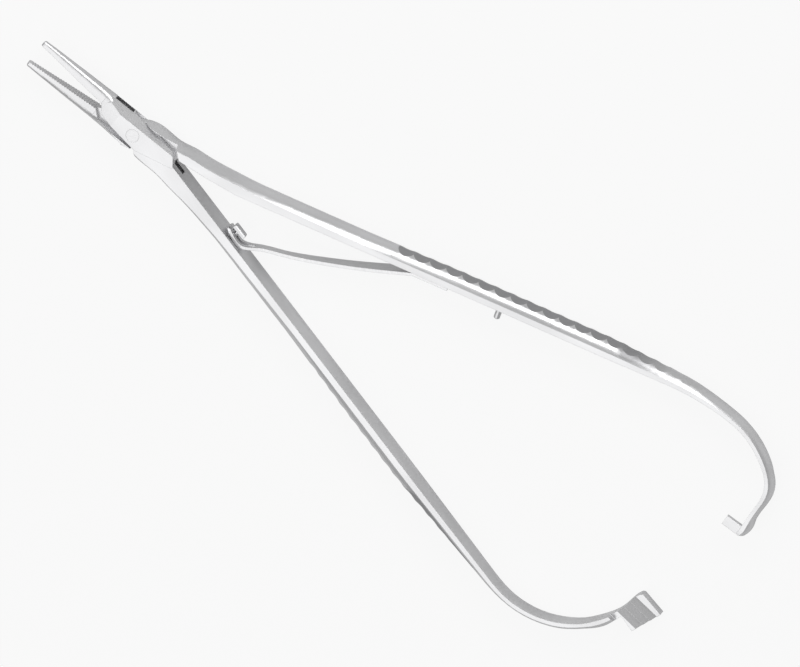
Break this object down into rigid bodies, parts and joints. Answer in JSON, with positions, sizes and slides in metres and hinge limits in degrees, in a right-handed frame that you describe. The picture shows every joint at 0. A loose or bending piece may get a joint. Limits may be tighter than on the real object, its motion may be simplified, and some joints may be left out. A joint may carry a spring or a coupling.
{
  "type": "surgical needle holder",
  "caption": "Palm-handled needle holder with a box lock, serrated jaws, scalloped handles, a leaf spring that opens it and a ratchet between the curled tails.",
  "frame": {"origin": "on the axis of the pivot, at the level of the back face that the instrument lies on", "axes": "+X from the pivot towards the tails along the line between the jaws, +Y towards the handle that carries the leaf spring, +Z out of the front face"},
  "size_m": [0.199, 0.0746, 0.0064],
  "materials": {
    "box_arm": "satin polished stainless steel",
    "tongue_arm": "satin polished stainless steel",
    "pivot_pin": "ground stainless steel",
    "leaf_spring": "polished spring steel",
    "spring_stud": "polished stainless steel",
    "stop_pin": "polished stainless steel"
  },
  "bodies": {
    "box_body": {"box_arm": "box_arm", "pivot_pin": "pivot_pin", "spring_stud": "spring_stud"},
    "tongue_body": {"tongue_arm": "tongue_arm", "leaf_spring": "leaf_spring", "stop_pin": "stop_pin"}
  },
  "joints": [
    {"name": "box_lock", "type": "hinge", "parent": "box_body", "child": "tongue_body", "pos_m": [0, 0, 0.0032], "axis": [0, 0, -1], "range_deg": [0, 10], "stiffness_Nm_per_rad": 5, "springref_deg": -1.15, "deforming": ["leaf_spring"]}
  ]
}
